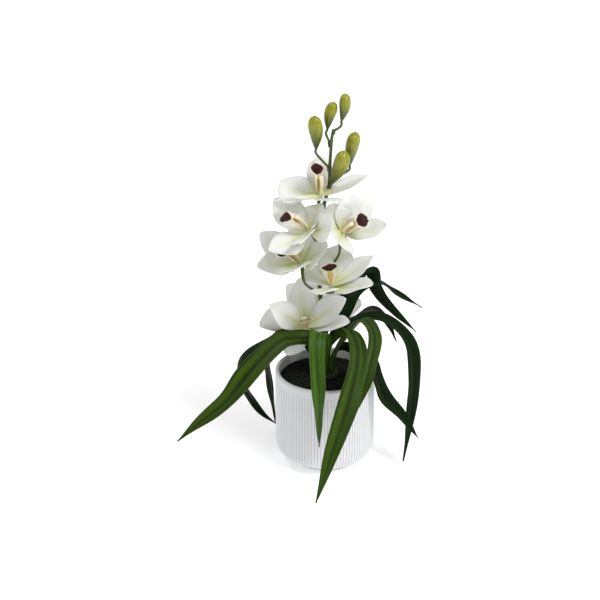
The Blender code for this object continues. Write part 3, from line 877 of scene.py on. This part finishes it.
# %% Bloom axes and blade outline


def bloom_axes(centre, compass, rise, roll):
    """Where a bloom's own X, Y and Z lie: Z out of its face, which is raised and rolled by these degrees."""
    turn, lift, spin = (math.radians(a) for a in (compass, rise, roll))
    face = Vector((math.sin(turn) * math.cos(lift), -math.cos(turn) * math.cos(lift), math.sin(lift)))
    up = (Vector((0, 0, 1)) - face * face.z).normalized()
    top = up * math.cos(spin) + face.cross(up) * math.sin(spin)
    axes = Matrix((top.cross(face), top, face)).transposed().to_4x4()
    axes.translation = Vector(centre) * MM
    return axes


def tepal_width(share):
    """How broad a blade is at this share of its length: a narrow claw, a full middle, a blunt point."""
    return 0.20 * (1 - share) + 0.05 * share + 0.89 * max(math.sin(math.pi * share**1.25), 0) ** 0.85


print("blade breadth at its middle:", round(tepal_width(0.5), 2), "of its full width")

# %% [markdown]
# ## Growing a blade to its tip
#
# The blade's middle line is an arc that ends where its tip should be, so its length follows from the reach
# and the curl. Each row of the grid is then laid across that arc, turned, cupped, creased and rippled.

# %% Blade and hub


def tepal(bm, axes, tip, start, width, mood, habit):
    """Adds one sepal or petal from its base on the hub out to its tip."""
    broad, tilt, curl = habit
    width *= broad
    curl = math.radians(curl)
    local = axes.inverted() @ (Vector(tip) * MM)
    reach_out = math.hypot(local.x, local.y) - start[0]
    reach_up = local.z - start[1]
    length = math.hypot(reach_out, reach_up) * (curl / 2) / math.sin(curl / 2)
    angle = math.atan2(local.y, local.x)
    first = math.atan2(reach_up, reach_out) - curl / 2
    outward = Vector((math.cos(angle), math.sin(angle), 0))
    side = Vector((-math.sin(angle), math.cos(angle), 0))
    face = Vector((0, 0, 1))
    cup = TEPAL_CUP * mood.uniform(0.6, 1.5)
    lean = mood.uniform(-0.22, 0.22)
    ripple = mood.uniform(0.5, 1.3) * MM
    phase = mood.uniform(0, math.tau)
    back = mood.uniform(1.5, 4.0) * MM
    for vert in mapped_grid(bm, TEPAL_ACROSS, TEPAL_ALONG):
        share = vert.co.y + 0.5
        half = width * tepal_width(share) / 2
        across = vert.co.x * 2
        here = first + curl * share
        out = start[0] + length / curl * (math.sin(here) - math.sin(first))
        rise = start[1] + length / curl * (math.cos(first) - math.cos(here))
        normal = face * math.cos(here) - outward * math.sin(here)
        turn = tilt * smooth_step(share * 2)
        beside = side * math.cos(turn) + normal * math.sin(turn)
        normal = normal * math.cos(turn) - side * math.sin(turn)
        bowl = cup * half * across**2 + lean * half * across * share
        crease = -CREASE_DEPTH * math.exp(-(across / 0.10) ** 2) * (1 - share)
        edge = ripple * across**2 * math.sin(7 * share + phase + 1.5 * across) * smooth_step(share * 2)
        tip_back = -back * smooth_step((share - 0.72) / 0.28) ** 1.5 - EDGE_ROLL * across**6 * share
        lift = bowl + crease + edge + tip_back
        vert.co = axes @ (outward * out + face * rise + beside * across * half + normal * lift)


def bloom_hub(bm, axes, radius, low, high):
    """The small drum that the blades grow from, with its edges rounded."""
    middle = Matrix.Translation((0, 0, (low + high) / 2))
    drum = bmesh.ops.create_cone(bm, cap_ends=True, segments=24, radius1=radius, radius2=radius,
                                 depth=high - low, matrix=axes @ middle)["verts"]
    rims = list({edge for vert in drum for edge in vert.link_edges if len(edge.link_faces) == 2})
    bmesh.ops.bevel(bm, geom=rims, offset=0.4 * MM, offset_type="OFFSET", segments=2, profile=0.5,
                    affect="EDGES", material=-1)


print("blade grid:", TEPAL_ACROSS, "by", TEPAL_ALONG)

# %% [markdown]
# ## The lip and the column
#
# The lip is the third petal turned into a landing stage: a narrow claw, two side lobes that stand up around
# the column, then a ruffled outer lobe that rolls over. Across, each step along it is an arc whose bend
# changes from a deep gutter to a saddle. The column is a thick stalk swept along a curve, ending in a cap.

# %% Lip shape
LIP_ACROSS = 22
LIP_ALONG = 36
LIP_LENGTH = 37 * MM
LIP_THICK = 0.8 * MM
LIP_START = (3.2 * MM, 3.6 * MM)
# Half its breadth in millimetres, and its bend across in radians, each at shares of the lip's length
LIP_HALVES = ([0, 0.12, 0.34, 0.48, 0.60, 0.74, 0.88, 0.96, 1], [2.2, 5, 10.5, 10, 8, 10.5, 10, 7, 3.2])
LIP_BENDS = ([0, 0.2, 0.45, 0.62, 0.75, 1], [1.2, 1.35, 1.25, 0.7, 0.15, -0.35])
RIDGE_HEIGHT = 1.3 * MM
FRILL_HEIGHT = 1.1 * MM
# How far each lip has rolled over at its tip: its direction there in degrees, where 90 is straight out
LIP_ROLL = -12
LIP_ROLLS = {"flower_1": 30, "flower_5": 62, "flower_6": 70}
PALE_BACKED = ("flower_6",)


def lip_sheet(bm, axes, mood, roll):
    """Adds a lip: its middle line is walked first, then each row is bent about that line."""
    shares = np.linspace(0, 1, LIP_ALONG + 1)
    halfway = 48 + (roll - LIP_ROLL) * 0.4
    aims = np.radians(np.interp(shares, [0, 0.55, 0.72, 1], [84, 80, halfway, roll]))
    step = LIP_LENGTH / LIP_ALONG
    out = LIP_START[0] + np.concatenate([[0], np.cumsum(np.cos(aims[1:]) * step)])
    rise = LIP_START[1] + np.concatenate([[0], np.cumsum(np.sin(aims[1:]) * step)])
    halves = MM * np.interp(shares, *LIP_HALVES)
    bends = np.interp(shares, *LIP_BENDS)
    phase = mood.uniform(0, math.tau)
    for vert in mapped_grid(bm, LIP_ACROSS, LIP_ALONG):
        share = vert.co.y + 0.5
        k = round(share * LIP_ALONG)
        across = vert.co.x * 2
        bend = bends[k] if abs(bends[k]) > 0.01 else 0.01
        sideways = halves[k] * math.sin(across * bend) / bend
        upwards = halves[k] * (1 - math.cos(across * bend)) / bend
        ridge = RIDGE_HEIGHT * sum(math.exp(-((across - c) / 0.10) ** 2) for c in (-0.2, 0.2))
        ridge *= smooth_step((share - 0.2) / 0.15) * smooth_step((0.66 - share) / 0.1)
        frill = FRILL_HEIGHT * abs(across) ** 3 * math.sin(16 * share + 3 * across + phase)
        lift = upwards + ridge + frill * smooth_step((share - 0.55) / 0.2)
        scallop = 1.0 * MM * math.sin(across * 9 + phase) * smooth_step((share - 0.9) / 0.1)
        vert.co = axes @ Vector((sideways, -(out[k] - math.sin(aims[k]) * lift + scallop),
                                 rise[k] + math.cos(aims[k]) * lift))


print("lip:", round(LIP_LENGTH / MM), "mm long,", 2 * max(LIP_HALVES[1]), "mm broad before it is bent")

# %% Column shape
COLUMN_LINE = [(0, 0.8, 3.1), (0, 2, 10), (0, 1.6, 18), (0, -1, 26)]
COLUMN_GIRTHS = ([0, 0.3, 0.65, 0.8, 0.86, 0.92, 0.97, 1], [1.8, 1.9, 2.5, 2.9, 2.6, 3.2, 2.6, 1.0])
COLUMN_STEPS = 18


def column_shape(bm, axes):
    """Adds the column, a bent stalk that swells to a rounded cap."""
    line = [axes @ Vector(place * MM) for place in even_points(COLUMN_LINE, COLUMN_STEPS)]
    radii = np.interp(np.linspace(0, 1, COLUMN_STEPS), *COLUMN_GIRTHS)
    sweep(bm, line, radii * MM, 16, flat=0.86)


print("column reaches:", COLUMN_LINE[-1][2], "mm out of the bloom")

# %% [markdown]
# ## The seven blooms
#
# Each bloom faces its own way, out from the stem and up to the light, and its blades reach different places
# because neighbours push them about. So every tip is given where it ends up, and the blade is grown to it.

# %% The seven blooms
# Each bloom: the centre of its throat in millimetres, the compass direction, rise and roll of its face in
# degrees, then where the tips of its top, left and right sepals and its left and right petals reach.
BLOOMS = {
    "flower_1": ((-9, -12, 354), (59, 84, 160), [(10, -60, 370), (-6, 38, 389), (-56, 22, 363)],
                 [(46, 1, 378), (-60, -45, 365)]),
    "flower_2": ((-21, -40, 323), (-70, 50, -30), [(2, -78, 350), (-63, 13, 343), (-67, -66, 311)],
                 [(-9, -24, 351), (-34, -96, 332)]),
    "flower_3": ((18, -30, 316), (35, 45, 81), [(6, -36, 352), (68, -20, 324), (51, 0, 354)],
                 [(14, -78, 325), (29, -27, 362)]),
    "flower_4": ((-32, -22, 275), (-32, 50, -69), [(-2, -50, 310), (-79, 11, 301), (-80, -40, 282)],
                 [(-32, 0, 324), (-38, -72, 290)]),
    "flower_5": ((6, -35, 250), (-40, 78, 46), [(15, 12, 285), (-9, -86, 267), (50, -69, 272)],
                 [(-27, -10, 264), (53, -28, 288)]),
    "flower_6": ((-24, -14, 187), (-10, 50, 20), [(-32, 6, 242), (-50, -26, 158), (26, -34, 206)],
                 [(-66, -30, 222), (20, -22, 230)]),
    "flower_7": ((-18, 48, 178), (180, 8, 0), [(-4, 62, 230), (-8, 62, 129), (-82, 60, 157)],
                 [(45, 60, 187), (-46, 75, 204)]),
}

print("blooms:", len(BLOOMS))

# %% Grow the blooms
# For sepals and for petals: their full width, where on the hub they start, their hub's radius, low and high
BLADE_KINDS = {
    "sepals": (33 * MM, (3 * MM, -1 * MM), (4 * MM, -2 * MM, 0), SEPAL_WHITE),
    "petals": (34 * MM, (2 * MM, 1.7 * MM), (3 * MM, 0.3 * MM, 2.4 * MM), PETAL_WHITE),
}
bloom_places = {}
for order, (bloom, (centre, facing, *tips_of_kinds)) in enumerate(BLOOMS.items()):
    mood = random.Random(100 + order)
    axes = bloom_places[bloom] = bloom_axes(centre, *facing)
    for (kind, (width, start, hub, white)), tips in zip(BLADE_KINDS.items(), tips_of_kinds):
        blades = bmesh.new()
        for index, tip in enumerate(tips):
            tepal(blades, axes, tip, start, width, mood, HABITS.get((bloom, kind, index), USUAL_HABIT))
        bmesh.ops.solidify(blades, geom=blades.faces, thickness=TEPAL_THICK)
        bloom_hub(blades, axes, *hub)
        bmesh.ops.recalc_face_normals(blades, faces=blades.faces)
        as_piece(blades, f"{bloom}_{kind}_white", white, sharp_above=60)
    lip_mesh = bmesh.new()
    lip_sheet(lip_mesh, axes, mood, LIP_ROLLS.get(bloom, LIP_ROLL))
    lip_finish = LIP_BACK if bloom in PALE_BACKED else LIP_LINING
    as_piece(lip_mesh, f"{bloom}_lip_velvet", lip_finish, thickness=LIP_THICK, lining=LIP_LINING)
    column_mesh = bmesh.new()
    column_shape(column_mesh, axes)
    bmesh.ops.recalc_face_normals(column_mesh, faces=column_mesh.faces)
    as_piece(column_mesh, f"{bloom}_column_wax", COLUMN)

# %% [markdown]
# ## The spike
#
# One stem carries everything: it thins towards its tip, and each bloom and bud hangs on its own short stalk.
# All of them are swept tubes joined in one mesh. Where a stalk leaves the stem there is a small papery
# bract, a grid curved round the stem.

# %% Stem and stalks
# The stem's points and its radius at each, in millimetres
STEM = [(0, 0, 121, 3.2), (-3, 3, 172, 3.0), (-8, 8, 240, 2.8), (-7, 9, 290, 2.6), (-3, 2, 340, 2.4),
        (2.5, 1.5, 362, 2.2), (3.5, 1, 395, 2.0), (5, 1, 420, 1.8), (7, 1, 432, 1.6)]
# Each bloom's stalk: a point that it passes through and the height at which it leaves the stem
STALKS = {
    "flower_1": ((-9, -10, 342), 332), "flower_2": ((-14, -27, 306), 290), "flower_3": ((14, -8, 278), 242),
    "flower_4": ((-26, -31, 253), 221), "flower_5": ((-1, -21, 236), 222), "flower_6": ((-21, -6, 176), 166),
    "flower_7": ((-14, 30, 176), 178),
}
# Each bud: the height at which its stalk leaves the stem, its base, its tip and its width
BUDS = {
    "bud_1": (384, (-13, -2, 409), (-16, -6, 450), 15), "bud_2": (413, (0, 4, 431), (8, 6, 463), 13.5),
    "bud_3": (429, (16, 0, 442), (20, 2, 474), 13), "bud_4": (368, (26, 1, 388), (33, 0, 429), 15.5),
    "bud_5": (362, (5, -11, 370), (20, -18, 412), 18),
}
BRACT_LENGTH = 9 * MM
BRACT_THICK = 0.4 * MM
# The radius of a stalk at shares of its length, in millimetres: stout at both ends under a bloom
BLOOM_STALK_GIRTHS = ([0, 0.08, 0.6, 1], [2.0, 1.6, 1.5, 2.6])
BUD_STALK_GIRTHS = ([0, 0.15, 1], [1.8, 1.3, 1.5])
print("stalks to grow:", len(STALKS), "for blooms and", len(BUDS), "for buds")

# %% Stalk and bract helpers
stem_line = even_points(STEM, 90)


def stem_place(height):
    """The middle of the stem at this height in millimetres."""
    return Vector([float(np.interp(height, stem_line[:, 2], stem_line[:, k])) for k in range(3)]) * MM


def bract(bm, height, towards):
    """A small pointed scale that hugs the stem below a stalk and leans the way the stalk goes."""
    foot = stem_place(height - 3)
    lean = Vector((towards.x - foot.x, towards.y - foot.y, 0)).normalized()
    side = Vector((-lean.y, lean.x, 0))
    for vert in mapped_grid(bm, 6, 8):
        share = vert.co.y + 0.5
        turn = vert.co.x * 2 * 1.2
        girth = (3.1 + 1.2 * share) * MM
        width = 1 - share**2
        vert.co = (foot + lean * girth * math.cos(turn * width) + side * girth * math.sin(turn * width)
                   + Vector((0, 0, BRACT_LENGTH * share)))


def stalk(bm, points, girths, steps, sides):
    """Adds a stalk on a smooth line through the points."""
    radii = np.interp(np.linspace(0, 1, steps), *girths)
    sweep(bm, even_points(points, steps), radii * MM, sides)


print("stem:", len(stem_line), "rings")

# %% Grow the spike
spike = bmesh.new()
sweep(spike, stem_line[:, :3] * MM, stem_line[:, 3] * MM, 20)
bracts = bmesh.new()
for bloom, (passing, height) in STALKS.items():
    behind, hub_back = (bloom_places[bloom] @ Vector((0, 0, depth * MM)) for depth in (-8, -1.6))
    stalk(spike, [stem_place(height), Vector(passing) * MM, behind, hub_back], BLOOM_STALK_GIRTHS, 26, 14)
    bract(bracts, height, Vector(passing) * MM)
for height, base, tip, _ in BUDS.values():
    away = (Vector(tip) - Vector(base)).normalized()
    below = (Vector(base) - away * 6) * MM
    stalk(spike, [stem_place(height), below, Vector(base) * MM], BUD_STALK_GIRTHS, 14, 12)
    bract(bracts, height, Vector(base) * MM)
bmesh.ops.solidify(bracts, geom=bracts.faces, thickness=BRACT_THICK)
held = bpy.data.meshes.new("bracts")
bracts.to_mesh(held)
bracts.free()
spike.from_mesh(held)
bpy.data.meshes.remove(held)
bmesh.ops.recalc_face_normals(spike, faces=spike.faces)
print("stalks:", len(STALKS) + len(BUDS))

# %% [markdown]
# ## The stalks' skin
#
# A stalk is dark green with pale streaks drawn out along it, and flushed brown where the sun has caught it.
# Stretching the noise upwards draws the streaks out, because nearly all of the spike is upright.

# %% Stalk finish
stalk_skin = Finish("stalk_green", Roughness=0.42, Coat_Weight=0.1)
streak = stalk_skin.noise(stalk_skin.place((1, 1, 0.08)), 600, detail=3)
flush = stalk_skin.noise(stalk_skin.place(), 30)
stalk_green = stalk_skin.mix(streak, (0.030, 0.050, 0.008), (0.10, 0.14, 0.025))
stalk_green = stalk_skin.mix(flush.between(0.5, 0.75) * 0.4, stalk_green, (0.09, 0.06, 0.02))
as_piece(spike, "flower_spike_stem", stalk_skin.wear(
    colour=stalk_green, roughness=0.35 + 0.2 * streak, height=streak, strength=0.25), sharp_above=70)

# %% [markdown]
# ## The buds
#
# A closed bud is its three outer sepals pressed together, so three seams run to its tip. It is fattest past
# its middle and bends a little, because the side towards the light grows slower.

# %% Buds
BUD_SHADED_BASE_GREEN = (0.035, 0.060, 0.002)
BUD_TIP_YELLOW = (0.30, 0.31, 0.005)
BUD_STREAK_GREEN = (0.075, 0.095, 0.004)
BUD_BLUSH = (0.25, 0.15, 0.03)
BUD_RINGS = 40
BUD_BOW = 1.6
# A bud's girth at shares of its length, as a part of its width
BUD_SHARES = [0, 0.03, 0.10, 0.22, 0.36, 0.52, 0.66, 0.79, 0.89, 0.95, 0.985, 1]
BUD_GIRTHS = [0.14, 0.22, 0.36, 0.58, 0.79, 0.95, 1.0, 0.94, 0.76, 0.50, 0.26, 0.05]
BUD_SWELL = 1.16

bud_skin = Finish("bud_green", Roughness=0.35, Coat_Weight=0.2, Coat_Roughness=0.2, Subsurface_Weight=0.1,
                  Subsurface_Scale=1 * MM)
up_bud = bud_skin.add("Attribute", {"attribute_name": "along"}, output=2)
bud_streak = bud_skin.noise(bud_skin.place((1, 1, 0.10)), 420, detail=3)
bud_cloud = bud_skin.noise(bud_skin.place(), 90)
# Darker towards the base: partly the bud's own greener base, partly painted shade on its lower side.
bud_green = bud_skin.mix(up_bud.between(0.05, 0.85), BUD_SHADED_BASE_GREEN, BUD_TIP_YELLOW)
bud_green = bud_skin.mix(bud_streak.between(0.42, 0.68) * 0.6, bud_green, BUD_STREAK_GREEN)
bud_green = bud_skin.mix(bud_cloud.between(0.60, 0.80) * 0.35, bud_green, BUD_BLUSH)
BUD = bud_skin.wear(colour=bud_green, roughness=0.28 + 0.2 * bud_streak, height=bud_streak, strength=0.2)

for order, (bud, (_, base, tip, width)) in enumerate(BUDS.items()):
    base, tip = Vector(base), Vector(tip)
    bow = (tip - base).cross(Vector((0, 1, 0))).normalized() * (-BUD_BOW, BUD_BOW)[order % 2]
    axis = even_points([base, (base + tip) / 2 + bow, tip], BUD_RINGS)
    girths = np.interp(np.linspace(0, 1, BUD_RINGS), BUD_SHARES, BUD_GIRTHS) * BUD_SWELL * width / 2
    bud_mesh = bmesh.new()
    sweep(bud_mesh, axis * MM, girths * MM, 36, lobes=0.07, flat=0.9)
    bmesh.ops.recalc_face_normals(bud_mesh, faces=bud_mesh.faces)
    as_piece(bud_mesh, bud + "_sepals", BUD)
print("buds:", len(BUDS))
